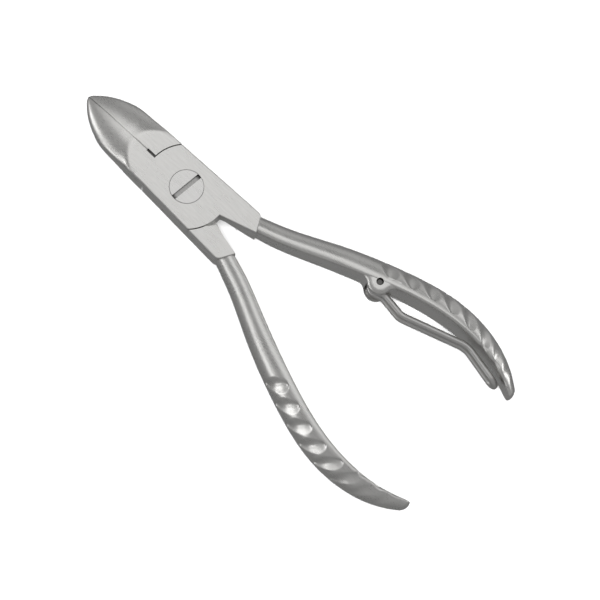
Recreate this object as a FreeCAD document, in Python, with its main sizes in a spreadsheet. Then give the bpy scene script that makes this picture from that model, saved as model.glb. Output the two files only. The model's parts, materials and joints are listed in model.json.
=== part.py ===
import FreeCAD, Part
import Sketcher
import os

# Lap-joint nippers with a folding wire spring, in millimetres.
# Origin: the pivot axis on the joint's back face. +X runs to the jaw tip,
# +Z along the pivot axis out of the screw head, +Y to the plain handle's side.
# The front lever carries the screw head, its jaw on +Y and its handle on -Y.
# The back lever is the same forging turned half a turn about the X axis; both jaws
# are hollowed on the tool's back, so the hollow is on the forging's other face there.

SIZES = {
    # joint
    "joint_thickness": 8.0,        # both half laps together
    "joint_half_width": 7.15,      # pivot to the long edge of the flats, at the jaws
    "root_half_width": 8.15,       # the same at the shoulder behind the joint
    "shoulder_reach": 18.6,        # pivot to the step at the handle root
    "shoulder_slant": 2.3,         # how far the step runs back to the inner edge
    "shoulder_inner": 3.8,         # inner end of the step, from the centre line
    "seam_radius": 11.0,           # round end of each half lap
    "seam_gap": 0.2,               # radial gap between a lap and its shoulder
    "lap_gap": 0.06,               # gap between the two sliding lap faces
    "crotch_inset": 0.5,           # the lap's inner corner, past the centre line
    "cutter_overrun": 1.0,         # how far a cutting tool runs past the metal
    # jaws
    "jaw_reach": 34.7,             # pivot to the tip
    "jaw_gap": 0.02,               # each cutting edge stands off the centre plane
    "relief_length": 2.8,          # the relief slot, from the seam forwards
    "relief_half_width": 0.36,
    "hollow_half_width": 1.9,      # hollow ground behind the cutting edges
    "edge_land": 0.4,              # metal left above the hollow
    # handles
    "handle_reach": 96.0,          # pivot to the handle's end
    "grip_spread": 28.2,           # centre line to the outside of the bow
    "grip_thickness": 6.6,
    "grip_depth": 11.5,
    "shank_step": 0.5,             # the shank stands below the flats by this
    # pivot screw
    "head_radius": 4.37,
    "head_height": 1.7,
    "shoulder_radius": 2.6,
    "thread_radius": 2.1,
    "driver_slot_width": 1.25,
    "driver_slot_depth": 0.8,
    "driver_slot_turn": 84.6,      # degrees from the jaw direction
    "running_gap": 0.05,           # radial gap of every turning fit
    "tight_gap": 0.01,             # radial gap of a fit that is driven home
    # spring lug, pin and wire
    "lug_radius": 3.2,
    "lug_foot": 5.2,               # half the lug's length where it meets the handle
    "lug_root": 1.5,               # how deep the lug's foot is sunk in the handle
    "lug_depth": 10.8,
    "pin_radius": 0.95,
    "pin_recess": 0.9,             # the pin's ends stand below the lug's sides
    "wire_radius": 0.85,
    "wire_spacing": 4.2,           # centre to centre of the two wires
    "spring_gap": 0.25,            # free room round the wires in the lug
    "knee_radius": 5.0,
    "heel_radius": 7.0,
    "knee_rise": 5.3,              # wire's centre line to the handle's face, at the knee
    "end_rise": 1.9,               # the wire's side to the handle's face, at the far end
}

# Handle stations: share of the handle's length behind the step, share of the
# sideways spread, share of the grip's thickness, share of the extra depth.
HANDLE_STATIONS = {
    "buried": (-0.020, -0.035, 0.67, 0.00),
    "neck": (0.070, 0.117, 0.82, 0.03),
    "shank": (0.200, 0.356, 0.94, 0.24),
    "waist": (0.315, 0.570, 1.00, 0.50),
    "lug": (0.430, 0.745, 1.00, 0.80),
    "palm": (0.560, 0.910, 0.98, 0.97),
    "bow": (0.716, 1.000, 0.91, 1.00),
    "heel": (0.871, 0.910, 0.72, 0.71),
    "butt": (0.961, 0.740, 0.53, 0.24),
    "end": (1.000, 0.622, 0.38, -0.15),
}

# Jaw stations: share of the jaw's length past the seam, half width as a share
# of the joint's half width, half height as a share of half the thickness.
JAW_STATIONS = (
    (0.00, 1.300, 1.900),
    (0.126, 1.235, 1.375),
    (0.291, 1.160, 1.020),
    (0.466, 1.055, 0.865),
    (0.631, 0.890, 0.715),
    (0.776, 0.675, 0.550),
    (0.883, 0.440, 0.400),
    (0.965, 0.190, 0.250),
    (1.00, 0.065, 0.150),
)

# Hollow stations: share of the jaw's length past the seam, share of the hollow's
# half width, and the jaw's half height there as a share of half the thickness.
HOLLOW_STATIONS = (
    (0.146, 1.00, 1.26),
    (0.466, 0.95, 0.865),
    (0.776, 0.68, 0.55),
    (0.903, 0.32, 0.30),
)

# The flats run this share of the jaw's length past the seam, into the barrel.
FLAT_OVERLAP = 0.03

# The crotch relief's corners behind the pivot, as shares of the seam's radius.
CROTCH_CORNERS = ((0, -0.37), (-0.95, -0.37), (-1.11, -0.18))
CROTCH_TOP = 0.3

# The wire's bends and far end, as shares of the handle's length behind the step.
WIRE_STATIONS = {"knee": 0.554, "heel": 0.78, "end": 0.905}

doc = FreeCAD.newDocument("nippers")
sheet = doc.addObject("Spreadsheet::Sheet", "Sizes")
for row, (alias, size) in enumerate(SIZES.items(), start=1):
    sheet.set(f"A{row}", alias.replace("_", " "))
    sheet.set(f"B{row}", str(size))
    sheet.setAlias(f"B{row}", alias)
doc.recompute()

HALF = "Sizes.joint_thickness / 2"
OVERRUN = "Sizes.cutter_overrun"


def value(expression):
    """The number that an expression of the sheet's sizes comes to."""
    return float(sheet.evalExpression(expression))


def bind(feature, **expressions):
    """Bind a feature's properties to expressions; __ in a name stands for a dot."""
    for name, expression in expressions.items():
        feature.setExpression(name.replace("__", "."), expression)
    return feature


def place(feature, x="0", y="0", z="0", rotation=None):
    """Place a feature at sheet expressions, with a fixed turn."""
    if rotation is not None:
        feature.Placement = FreeCAD.Placement(FreeCAD.Vector(), rotation)
    return bind(feature, Placement__Base__x=x, Placement__Base__y=y, Placement__Base__z=z)


def make(kind, name, **expressions):
    """A new document object with its sizes bound."""
    return bind(doc.addObject(kind, name), **expressions)


def join(name, *features):
    """One solid out of overlapping ones."""
    fuse = doc.addObject("Part::MultiFuse", name)
    fuse.Shapes = list(features)
    return fuse


def cut(name, base, tool):
    """The base with the tool's space taken out of it."""
    piece = doc.addObject("Part::Cut", name)
    piece.Base = base
    piece.Tool = tool
    return piece


def arc_between(start, finish, radius):
    """The arc from start to finish; a positive radius bulges to the right of the way."""
    chord = finish - start
    middle = (start + finish) * 0.5
    right = FreeCAD.Vector(chord.y, -chord.x, 0).normalize()
    half = chord.Length / 2
    size = max(abs(radius), half)
    rise = size - (size * size - half * half) ** 0.5
    crown = middle + right * (rise if radius > 0 else -rise)
    return Part.Arc(start, crown, finish), radius > 0


def outline(sketch, corners, arcs=None, closed=True):
    """Draw a bound outline: corners are expression pairs, arcs map an edge to its radius."""
    arcs = arcs or {}
    spots = [FreeCAD.Vector(value(x), value(y), 0) for x, y in corners]
    count = len(spots) if closed else len(spots) - 1
    previous_end = None
    first_start = None
    for index in range(count):
        start = spots[index]
        finish = spots[(index + 1) % len(spots)]
        start_at, finish_at = 1, 2
        if index in arcs:
            curve, counter_clockwise = arc_between(start, finish, value(arcs[index]))
            if not counter_clockwise:
                start_at, finish_at = 2, 1
        else:
            curve = Part.LineSegment(start, finish)
        edge = sketch.addGeometry(curve, False)
        if previous_end is not None:
            sketch.addConstraint(Sketcher.Constraint("Coincident", *previous_end, edge, start_at))
        else:
            first_start = (edge, start_at)
        pin_corner(sketch, edge, start_at, corners[index])
        if index in arcs:
            radius = abs(value(arcs[index]))
            number = sketch.addConstraint(Sketcher.Constraint("Radius", edge, radius))
            sketch.setExpression(f"Constraints[{number}]", f"abs({arcs[index]})")
        previous_end = (edge, finish_at)
    if closed:
        sketch.addConstraint(Sketcher.Constraint("Coincident", *previous_end, *first_start))
    else:
        pin_corner(sketch, *previous_end, corners[-1])
    return sketch


def pin_corner(sketch, edge, spot, corner):
    """Hold one corner at its two expressions, measured from the sketch's origin."""
    for kind, expression in zip(("DistanceX", "DistanceY"), corner):
        constraint = Sketcher.Constraint(kind, -1, 1, edge, spot, value(expression))
        number = sketch.addConstraint(constraint)
        sketch.setExpression(f"Constraints[{number}]", expression)


def new_sketch(name, corners, arcs=None, closed=True):
    """A sketch of its own with a bound outline in it."""
    return outline(doc.addObject("Sketcher::SketchObject", name), corners, arcs, closed)


def raised(name, sketch, height, z="0"):
    """The sketch made solid, from z upwards."""
    solid = doc.addObject("Part::Extrusion", name)
    solid.Base = sketch
    solid.DirMode = "Custom"
    solid.Dir = FreeCAD.Vector(0, 0, 1)
    solid.Solid = True
    return bind(solid, LengthFwd=height, Placement__Base__z=z)


def lofted(name, sections):
    """A smooth solid through closed sections, in order."""
    solid = doc.addObject("Part::Loft", name)
    solid.Sections = sections
    solid.Solid = True
    return solid


# Section planes stand across the tool: sketch x runs along Y, sketch y along Z.
ACROSS = FreeCAD.Rotation(FreeCAD.Vector(1, 1, 1), 120)
ELLIPSE_UPRIGHT = ACROSS.multiply(FreeCAD.Rotation(FreeCAD.Vector(0, 0, 1), 90))


def handle_point(share):
    """How far behind the pivot a share of the handle's length is."""
    return f"(Sizes.shoulder_reach + {share} * (Sizes.handle_reach - Sizes.shoulder_reach))"


def station_reach(station):
    """How far behind the pivot a handle station stands."""
    return handle_point(HANDLE_STATIONS[station][0])


def station_outer(station):
    """The centre line to the handle's round side."""
    share = HANDLE_STATIONS[station][1]
    return f"(Sizes.root_half_width + {share} * (Sizes.grip_spread - Sizes.root_half_width))"


def station_inner(station):
    """The centre line to the handle's flat side."""
    share = HANDLE_STATIONS[station][2]
    return f"({station_outer(station)} - {share} * Sizes.grip_thickness)"


def station_depth(station):
    """The handle's size along the pivot axis."""
    shank = "(Sizes.joint_thickness - 2 * Sizes.shank_step)"
    share = HANDLE_STATIONS[station][3]
    return f"({shank} + {share} * (Sizes.grip_depth - {shank}))"


def handle(prefix):
    """The handle: flat inner face, round outer face, lofted through its stations."""
    sections = []
    for station in HANDLE_STATIONS:
        inner = station_inner(station)
        rise = f"({station_outer(station)} - {inner})"
        half = f"({station_depth(station)} / 2)"
        radius = f"(({half} * {half} + {rise} * {rise}) / (2 * {rise}))"
        crown = (f"-{station_outer(station)}", "0")
        corners = [(f"-{inner}", half), crown, (f"-{inner}", f"-{half}")]
        section = new_sketch(f"{prefix}_{station}_section", corners, {0: radius, 1: radius})
        sections.append(place(section, x=f"-{station_reach(station)}", z=HALF, rotation=ACROSS))
    return lofted(f"{prefix}_handle", sections)


def ellipse_loft(prefix, stations, z):
    """A barrel through upright ellipses: (reach, half width, half height) expressions."""
    sections = []
    for number, (reach, width, height) in enumerate(stations):
        wide = value(width) >= value(height)
        major, minor = (width, height) if wide else (height, width)
        ring = make("Part::Ellipse", f"{prefix}_{number}", MajorRadius=major, MinorRadius=minor)
        sections.append(place(ring, x=reach, z=z, rotation=ACROSS if wide else ELLIPSE_UPRIGHT))
    return lofted(prefix, sections)


def jaw_station_reach(share):
    """How far in front of the pivot a share of the jaw's length is."""
    return f"(Sizes.seam_radius + {share} * (Sizes.jaw_reach - Sizes.seam_radius))"


def jaw(prefix):
    """Half of the barrel-shaped jaws, kept inside the joint's flats."""
    stations = [
        (jaw_station_reach(share), f"{width} * Sizes.joint_half_width", f"{height} * {HALF}")
        for share, width, height in JAW_STATIONS
    ]
    barrel = ellipse_loft(f"{prefix}_barrel", stations, HALF)
    room = make(
        "Part::Box", f"{prefix}_jaw_room",
        Length="Sizes.jaw_reach",
        Width="Sizes.joint_half_width - Sizes.jaw_gap",
        Height="Sizes.joint_thickness",
    )
    place(room, x="Sizes.seam_radius", y="Sizes.jaw_gap")
    half_jaw = doc.addObject("Part::MultiCommon", f"{prefix}_jaw")
    half_jaw.Shapes = [barrel, room]
    return half_jaw


def jaw_hollow(prefix, back_face):
    """The hollow ground into the jaws' back, which leaves thin cutting edges in front."""
    stations = []
    for share, width, height in HOLLOW_STATIONS:
        crown = f"({HALF} + {min(height, 1.0)} * {HALF} - Sizes.edge_land)"
        stations.append((jaw_station_reach(share), f"{width} * Sizes.hollow_half_width", crown))
    return ellipse_loft(f"{prefix}_hollow", stations, back_face)


def lap_plate(prefix):
    """The joint's flat: one half lap disc that runs into the jaw and the handle root.

    Its side flares from the seam's front end to the step, like the other lever's, so
    that the two halves are flush: the flare's line meets the seam's circle behind.
    """
    arc_end_x = "sqrt(Sizes.seam_radius ^ 2 - Sizes.joint_half_width ^ 2)"
    widening = "(Sizes.root_half_width - Sizes.joint_half_width)"
    flare = f"({widening} / (Sizes.shoulder_reach + {arc_end_x}))"
    rise = f"(Sizes.joint_half_width + {flare} * {arc_end_x})"
    square = f"(1 + {flare} ^ 2)"
    depth = f"sqrt(({rise} * {flare}) ^ 2 - {square} * ({rise} ^ 2 - Sizes.seam_radius ^ 2))"
    seam_end_x = f"(({rise} * {flare} - {depth}) / {square})"
    corners = [
        ("Sizes.seam_radius", "Sizes.jaw_gap"),
        (jaw_station_reach(FLAT_OVERLAP), "Sizes.jaw_gap"),
        (jaw_station_reach(FLAT_OVERLAP), "Sizes.joint_half_width"),
        (arc_end_x, "Sizes.joint_half_width"),
        (seam_end_x, f"{rise} - {flare} * {seam_end_x}"),
        ("-sqrt(Sizes.seam_radius ^ 2 - Sizes.crotch_inset ^ 2)", "-Sizes.crotch_inset"),
        ("-(Sizes.shoulder_reach + Sizes.shoulder_slant)", "-Sizes.shoulder_inner"),
        ("-Sizes.shoulder_reach", "-Sizes.root_half_width"),
        (arc_end_x, "-Sizes.joint_half_width"),
    ]
    seams = {4: "Sizes.seam_radius", 8: "Sizes.seam_radius"}
    sketch = new_sketch(f"{prefix}_lap_outline", corners, seams)
    return raised(f"{prefix}_lap_plate", sketch, "Sizes.joint_thickness")


def lap_cuts(prefix):
    """Room for the other lever's half lap, the crotch relief and the relief slot."""
    room_height = f"{HALF} + Sizes.lap_gap / 2 + {OVERRUN}"
    lap = make(
        "Part::Cylinder", f"{prefix}_lap_room",
        Radius="Sizes.seam_radius + Sizes.seam_gap", Height=room_height,
    )
    place(lap, z=f"-{OVERRUN}")
    corners = [(f"{x} * Sizes.seam_radius", f"{y} * Sizes.seam_radius") for x, y in CROTCH_CORNERS]
    corners += [
        ("-(Sizes.shoulder_reach + Sizes.shoulder_slant)", "-Sizes.shoulder_inner"),
        ("0", f"Sizes.crotch_inset + {CROTCH_TOP} * Sizes.seam_radius"),
    ]
    crotch_sketch = new_sketch(f"{prefix}_crotch_outline", corners)
    crotch = raised(f"{prefix}_crotch_room", crotch_sketch, room_height, f"-{OVERRUN}")
    relief = make(
        "Part::Box", f"{prefix}_relief_slot",
        Length="Sizes.relief_length + Sizes.running_gap",
        Width="2 * Sizes.relief_half_width",
        Height=f"Sizes.joint_thickness + 2 * {OVERRUN}",
    )
    start = "Sizes.seam_radius - Sizes.running_gap"
    place(relief, x=start, y="-Sizes.relief_half_width", z=f"-{OVERRUN}")
    return [lap, crotch, relief]


def forging(prefix, back_face, extra_metal, extra_cuts):
    """A lever: lap plate, jaw and handle in one piece, with its machined cuts."""
    blank = join(f"{prefix}_blank", lap_plate(prefix), jaw(prefix), handle(prefix), *extra_metal)
    cuts = join(f"{prefix}_cuts", jaw_hollow(prefix, back_face), *lap_cuts(prefix), *extra_cuts)
    return cut(prefix, blank, cuts)


PIN_X = f"-{station_reach('lug')}"
PIN_Y = f"-{station_inner('lug')}"
SLOT_HEIGHT = "(Sizes.wire_spacing + 2 * Sizes.wire_radius + 2 * Sizes.spring_gap)"
EYE_RADIUS = "(Sizes.pin_radius + Sizes.running_gap + Sizes.wire_radius)"
LUG_TURN = (
    f"atan2({station_inner('palm')} - {station_inner('waist')}; "
    f"{station_reach('palm')} - {station_reach('waist')})"
)


def turned(feature):
    """Turn a lug feature to lie along the handle: its own -X runs to the handle's end."""
    feature.Placement = FreeCAD.Placement(FreeCAD.Vector(), FreeCAD.Rotation(FreeCAD.Vector(0, 0, 1), 1))
    feature.setExpression("Placement.Rotation.Angle", LUG_TURN)
    return feature


def spring_lug():
    """The round lug on the front handle's inner face, as a cylinder on a tapered foot."""
    barrel = make("Part::Cylinder", "lug_barrel", Radius="Sizes.lug_radius", Height="Sizes.lug_depth")
    place(barrel, x=PIN_X, y=PIN_Y, z=f"{HALF} - Sizes.lug_depth / 2")
    touch_along = "(Sizes.lug_radius ^ 2 / Sizes.lug_foot)"
    touch_up = "(Sizes.lug_radius * sqrt(1 - (Sizes.lug_radius / Sizes.lug_foot) ^ 2))"
    corners = [
        ("Sizes.lug_foot", "-Sizes.lug_root"),
        ("Sizes.lug_foot", "0"),
        (touch_along, touch_up),
        (f"-{touch_along}", touch_up),
        ("-Sizes.lug_foot", "0"),
        ("-Sizes.lug_foot", "-Sizes.lug_root"),
    ]
    foot = raised("lug_foot_block", new_sketch("lug_foot_outline", corners), "Sizes.lug_depth")
    place(turned(foot), x=PIN_X, y=PIN_Y, z=f"{HALF} - Sizes.lug_depth / 2")
    return [barrel, foot]


def lug_cuts():
    """The pin hole and the slot that the wire's eyes turn in."""
    hole = make(
        "Part::Cylinder", "pin_hole",
        Radius="Sizes.pin_radius + Sizes.tight_gap", Height="2 * Sizes.lug_depth",
    )
    place(hole, x=PIN_X, y=PIN_Y, z=f"{HALF} - Sizes.lug_depth")
    eye_room = make(
        "Part::Cylinder", "eye_room",
        Radius=f"{EYE_RADIUS} + Sizes.wire_radius + Sizes.spring_gap", Height=SLOT_HEIGHT,
    )
    place(eye_room, x=PIN_X, y=PIN_Y, z=f"{HALF} - {SLOT_HEIGHT} / 2")
    front = "2 * Sizes.wire_radius"
    back = "-2.5 * Sizes.lug_radius"
    top = "2 * Sizes.lug_radius"
    corners = [(front, "0"), (front, top), (back, top), (back, "0")]
    window = raised("swing_window", new_sketch("swing_window_outline", corners), SLOT_HEIGHT)
    place(turned(window), x=PIN_X, y=PIN_Y, z=f"{HALF} - {SLOT_HEIGHT} / 2")
    return [hole, eye_room, window]


def screw_room():
    """The front lever's counterbore and the running hole under it."""
    counterbore = make(
        "Part::Cylinder", "counterbore",
        Radius="Sizes.head_radius + Sizes.running_gap",
        Height=f"Sizes.head_height + {OVERRUN}",
    )
    place(counterbore, z="Sizes.joint_thickness - Sizes.head_height")
    bore = make(
        "Part::Cylinder", "screw_bore",
        Radius="Sizes.shoulder_radius + Sizes.running_gap", Height="Sizes.joint_thickness",
    )
    return [counterbore, place(bore)]


def tapped_hole():
    """The back lever's hole for the screw's threaded end."""
    hole = make(
        "Part::Cylinder", "tapped_hole",
        Radius="Sizes.thread_radius + Sizes.tight_gap",
        Height=f"Sizes.joint_thickness + 2 * {OVERRUN}",
    )
    return [place(hole, z=f"-{OVERRUN}")]


def pivot_screw():
    """A turned screw, driver slot across its flush head."""
    under_head = "Sizes.joint_thickness - Sizes.head_height + Sizes.running_gap"
    thread_top = f"{HALF} - Sizes.lap_gap / 2"
    corners = [
        ("0", "0"),
        ("Sizes.thread_radius", "0"),
        ("Sizes.thread_radius", thread_top),
        ("Sizes.shoulder_radius", thread_top),
        ("Sizes.shoulder_radius", under_head),
        ("Sizes.head_radius", under_head),
        ("Sizes.head_radius", "Sizes.joint_thickness"),
        ("0", "Sizes.joint_thickness"),
    ]
    profile = new_sketch("screw_profile", corners)
    place(profile, rotation=FreeCAD.Rotation(FreeCAD.Vector(1, 0, 0), 90))
    turning = doc.addObject("Part::Revolution", "screw_turning")
    turning.Source = profile
    turning.Axis = FreeCAD.Vector(0, 0, 1)
    turning.Angle = 360
    turning.Solid = True
    slot_end = f"(Sizes.head_radius + {OVERRUN})"
    slot_side = "Sizes.driver_slot_width / 2"
    slot_corners = [
        (f"-{slot_end}", f"-{slot_side}"),
        (slot_end, f"-{slot_side}"),
        (slot_end, slot_side),
        (f"-{slot_end}", slot_side),
    ]
    slot_sketch = new_sketch("driver_slot_outline", slot_corners)
    slot = raised("driver_slot", slot_sketch, "2 * Sizes.driver_slot_depth")
    place(slot, z="Sizes.joint_thickness - Sizes.driver_slot_depth",
          rotation=FreeCAD.Rotation(FreeCAD.Vector(0, 0, 1), 1))
    slot.setExpression("Placement.Rotation.Angle", "Sizes.driver_slot_turn")
    return cut("pivot_screw", turning, slot)


def spring_pin():
    """The straight hinge pin, both ends below the lug's sides."""
    length = "(Sizes.lug_depth - 2 * Sizes.pin_recess)"
    pin = make("Part::Cylinder", "spring_pin", Radius="Sizes.pin_radius", Height=length)
    return place(pin, x=PIN_X, y=PIN_Y, z=f"{HALF} - {length} / 2")


# The wire's centre line in plan: its knee, its heel by the handle's bow, its far end,
# and its start, where it leaves the eye round the pin in the direction of the knee.
KNEE = (f"-{handle_point(WIRE_STATIONS['knee'])}", f"-({station_inner('palm')} - Sizes.knee_rise)")
HEEL = (
    f"-{handle_point(WIRE_STATIONS['heel'])}",
    f"-({station_inner('bow')} - Sizes.wire_radius - 2 * Sizes.spring_gap)",
)
FAR_END = (
    f"-{handle_point(WIRE_STATIONS['end'])}",
    f"-({station_inner('heel')} - Sizes.wire_radius - Sizes.end_rise)",
)
WIRE_DX = f"({KNEE[0]} - {PIN_X})"
WIRE_DY = f"({KNEE[1]} - {PIN_Y})"
WIRE_START_SHARE = f"({EYE_RADIUS} / sqrt({WIRE_DX} ^ 2 + {WIRE_DY} ^ 2))"
WIRE_START = (
    f"{PIN_X} + {WIRE_START_SHARE} * {WIRE_DX}",
    f"{PIN_Y} + {WIRE_START_SHARE} * {WIRE_DY}",
)


def wire_path(name, level):
    """The wire's centre line: three straight runs with two rounded bends."""
    path = new_sketch(name, [WIRE_START, KNEE, HEEL, FAR_END], closed=False)
    for line, radius in ((0, "Sizes.knee_radius"), (1, "Sizes.heel_radius")):
        path.fillet(line, 2, value(radius), True, True)
        arcs = [index for index, edge in enumerate(path.Geometry) if edge.TypeId == "Part::GeomArcOfCircle"]
        bend = max(arcs)
        number = path.addConstraint(Sketcher.Constraint("Radius", bend, value(radius)))
        path.setExpression(f"Constraints[{number}]", radius)
    place(path, z=level)
    doc.recompute()
    return path


def edge_at(path, corner):
    """The name of the path's edge that ends at a corner, and where on it the corner is."""
    spot = FreeCAD.Vector(value(corner[0]), value(corner[1]), path.Placement.Base.z)
    for number, edge in enumerate(path.Shape.Edges, start=1):
        for end, vertex in ((0.0, edge.firstVertex(True)), (1.0, edge.lastVertex(True))):
            if vertex.Point.distanceToPoint(spot) < 1e-4:
                return f"Edge{number}", end
    raise ValueError("no edge of the wire's path ends there")


def wire_section(name, path, corner):
    """The wire's round section, square to the path at one of its ends."""
    ring = make("Part::Circle", name, Radius="Sizes.wire_radius")
    edge, end = edge_at(path, corner)
    ring.AttachmentSupport = [(path, edge)]
    ring.MapMode = "NormalToEdge"
    ring.MapPathParameter = end
    return ring


def spring_arm():
    """A hairpin of two parallel wires: an eye on the pin at one end, a U-turn at the other."""
    parts = []
    for name, side in (("upper", "+"), ("lower", "-")):
        level = f"{HALF} {side} Sizes.wire_spacing / 2"
        path = wire_path(f"{name}_wire_path", level)
        wire = doc.addObject("Part::Sweep", f"{name}_wire")
        wire.Sections = [wire_section(f"{name}_wire_section", path, WIRE_START)]
        wire.Spine = (path, [f"Edge{number}" for number in range(1, len(path.Shape.Edges) + 1)])
        wire.Solid = True
        eye = make("Part::Torus", f"{name}_eye", Radius1=EYE_RADIUS, Radius2="Sizes.wire_radius")
        place(eye, x=PIN_X, y=PIN_Y, z=level)
        parts += [eye, wire]
    turn = doc.addObject("Part::Revolution", "far_turn")
    turn.Source = wire_section("far_turn_section", path, FAR_END)
    turn.Angle = 180
    turn.Solid = True
    bind(
        turn,
        Base__x=FAR_END[0], Base__y=FAR_END[1], Base__z=HALF,
        Axis__x=f"{FAR_END[1]} - {HEEL[1]}", Axis__y=f"{HEEL[0]} - {FAR_END[0]}", Axis__z="0",
    )
    return join("spring_arm", *parts, turn)


def over_turned(lever):
    """Turn a lever half a turn about the X axis at mid thickness."""
    return place(lever, z="Sizes.joint_thickness", rotation=FreeCAD.Rotation(FreeCAD.Vector(1, 0, 0), 180))


pieces = {
    "front_lever": forging("front_lever", "0", spring_lug(), screw_room() + lug_cuts()),
    "back_lever": over_turned(forging("back_lever", "Sizes.joint_thickness", [], tapped_hole())),
    "pivot_screw": pivot_screw(),
    "spring_pin": spring_pin(),
    "spring_arm": spring_arm(),
}
for label, piece in pieces.items():
    piece.Label = label
doc.recompute()

faults = [f"{item.Name}: {item.State}" for item in doc.Objects if {"Invalid", "Error"} & set(item.State)]
for label, piece in pieces.items():
    shape = piece.Shape
    if shape.isNull() or not shape.isValid() or len(shape.Solids) != 1:
        faults.append(f"{label}: {len(shape.Solids)} solids, valid {not shape.isNull() and shape.isValid()}")
if faults:
    raise ValueError("; ".join(faults))

os.makedirs("parts", exist_ok=True)
for label, piece in pieces.items():
    piece.Shape.exportStep(f"parts/{label}.step")
    box = piece.Shape.BoundBox
    print(f"{label}: {piece.Shape.Volume:.1f} mm3, x {box.XMin:.2f}..{box.XMax:.2f},"
          f" y {box.YMin:.2f}..{box.YMax:.2f}, z {box.ZMin:.2f}..{box.ZMax:.2f}")
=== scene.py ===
# %% [markdown]
# # Lap-joint nippers with a folding wire spring
# Two forged levers cross in a lap joint, turn on one slotted screw and carry a barrel
# jaw each. A hairpin of wire hinges on a pin in the front handle's lug. The design's own
# solids come in first as a fixed frame; every piece made below stands in the same place
# as the solid that it replaces, with the rounded edges and the finish of the real tool.

import json
import math

import bmesh
import bpy
import numpy as np
from mathutils import Matrix, Vector
from mathutils.bvhtree import BVHTree


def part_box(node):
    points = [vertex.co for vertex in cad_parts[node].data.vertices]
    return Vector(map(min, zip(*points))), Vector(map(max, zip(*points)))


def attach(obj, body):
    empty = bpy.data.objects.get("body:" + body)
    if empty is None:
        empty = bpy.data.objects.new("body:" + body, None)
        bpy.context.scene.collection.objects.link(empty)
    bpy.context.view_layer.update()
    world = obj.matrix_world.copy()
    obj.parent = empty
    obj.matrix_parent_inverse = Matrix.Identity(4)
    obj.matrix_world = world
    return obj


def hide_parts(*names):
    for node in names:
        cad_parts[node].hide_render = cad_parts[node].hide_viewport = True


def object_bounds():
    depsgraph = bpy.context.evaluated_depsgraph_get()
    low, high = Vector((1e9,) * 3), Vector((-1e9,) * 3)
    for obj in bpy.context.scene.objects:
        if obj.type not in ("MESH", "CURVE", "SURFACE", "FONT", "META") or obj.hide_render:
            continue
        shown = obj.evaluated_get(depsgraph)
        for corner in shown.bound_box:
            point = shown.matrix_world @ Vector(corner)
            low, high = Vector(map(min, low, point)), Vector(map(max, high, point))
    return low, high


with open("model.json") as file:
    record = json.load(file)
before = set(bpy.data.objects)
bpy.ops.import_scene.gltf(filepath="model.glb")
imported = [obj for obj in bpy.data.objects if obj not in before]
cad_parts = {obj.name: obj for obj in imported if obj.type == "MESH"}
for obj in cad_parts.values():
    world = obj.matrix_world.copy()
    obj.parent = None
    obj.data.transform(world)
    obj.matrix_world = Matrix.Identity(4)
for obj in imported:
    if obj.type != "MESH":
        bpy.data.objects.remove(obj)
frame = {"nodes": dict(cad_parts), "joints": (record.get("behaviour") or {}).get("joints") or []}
cad_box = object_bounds()
MM = 0.001

# %% [markdown]
# ## Sizes from the frame
# The flats' thickness, the screw, the tips and the pin's centre are read from the frame,
# so the looks follow the design. Work is in millimetres and is scaled once, at the end.
# %% Read the driving sizes
def box_mm(node):
    """A node's lowest and highest corner, in millimetres."""
    low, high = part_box(node)
    return low / MM, high / MM


screw_high = box_mm("pivot_screw")[1]
THICKNESS = screw_high.z
MIDDLE = THICKNESS / 2
HEAD_RADIUS = screw_high.x
JAW_TIP = box_mm("front_lever")[1].x
HANDLE_END = -box_mm("front_lever")[0].x
pin_joint = next(joint for joint in frame["joints"] if joint["name"] == "spring_hinge")
PIN = Vector(pin_joint["pos_m"]) / MM
print(f"thickness {THICKNESS:.2f}, tip {JAW_TIP:.1f}, handle end {HANDLE_END:.1f}, pin {PIN[:]}")

# %% [markdown]
# The joint's outline has straight sides, a round seam and a slanted step where each
# handle begins. These few lengths are the design's own, in the front lever's place:
# its jaw is on the +Y side and its handle on the -Y side.
# %% Name the joint's lengths
HALF_WIDTH = 7.15
ROOT_HALF_WIDTH = 8.15
SEAM_RADIUS = 11.0
SEAM_GAP = 0.2
LAP_GAP = 0.06
JAW_GAP = 0.02
STEP_REACH = 18.6
STEP_SLANT = 2.3
STEP_INNER = 3.8
CROTCH_INSET = 0.5
RELIEF_REACH = SEAM_RADIUS + 2.8
RELIEF_HALF_WIDTH = 0.36
RUNNING_GAP = 0.05
OVERRUN = 1.0
TIGHT_GAP = 0.01
LONG_EDGE_ROUND = 0.55
SEAM_EDGE_ROUND = 0.16
RIM_BREAK = 0.06
print(f"joint {2 * HALF_WIDTH:.1f} mm wide, seam at {SEAM_RADIUS:.1f} mm, levers {LAP_GAP:.2f} mm apart")

# %% [markdown]
# ## Mesh helpers
# Closed meshes are joined and cut with booleans, the way a toolmaker welds and mills.
# `settled` turns an object's modifiers into plain mesh, so nothing live is left on it.
# %% Make, settle and carve meshes
def new_piece(name, vertices, faces):
    """A mesh object out of points in millimetres, its faces turned outwards."""
    mesh = bpy.data.meshes.new(name)
    mesh.from_pydata([Vector(v) for v in vertices], [], faces)
    piece = bpy.data.objects.new(name, mesh)
    bpy.context.scene.collection.objects.link(piece)
    turn_outwards(piece)
    return piece


def turn_outwards(piece):
    """Recalculate a closed mesh's faces so that they all point outwards."""
    work = bmesh.new()
    work.from_mesh(piece.data)
    bmesh.ops.recalc_face_normals(work, faces=work.faces)
    work.to_mesh(piece.data)
    work.free()


def settled(piece):
    """The piece with its modifiers turned into plain mesh."""
    graph = bpy.context.evaluated_depsgraph_get()
    graph.update()
    mesh = bpy.data.meshes.new_from_object(piece.evaluated_get(graph), depsgraph=graph)
    piece.modifiers.clear()
    piece.data = mesh
    return piece


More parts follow.
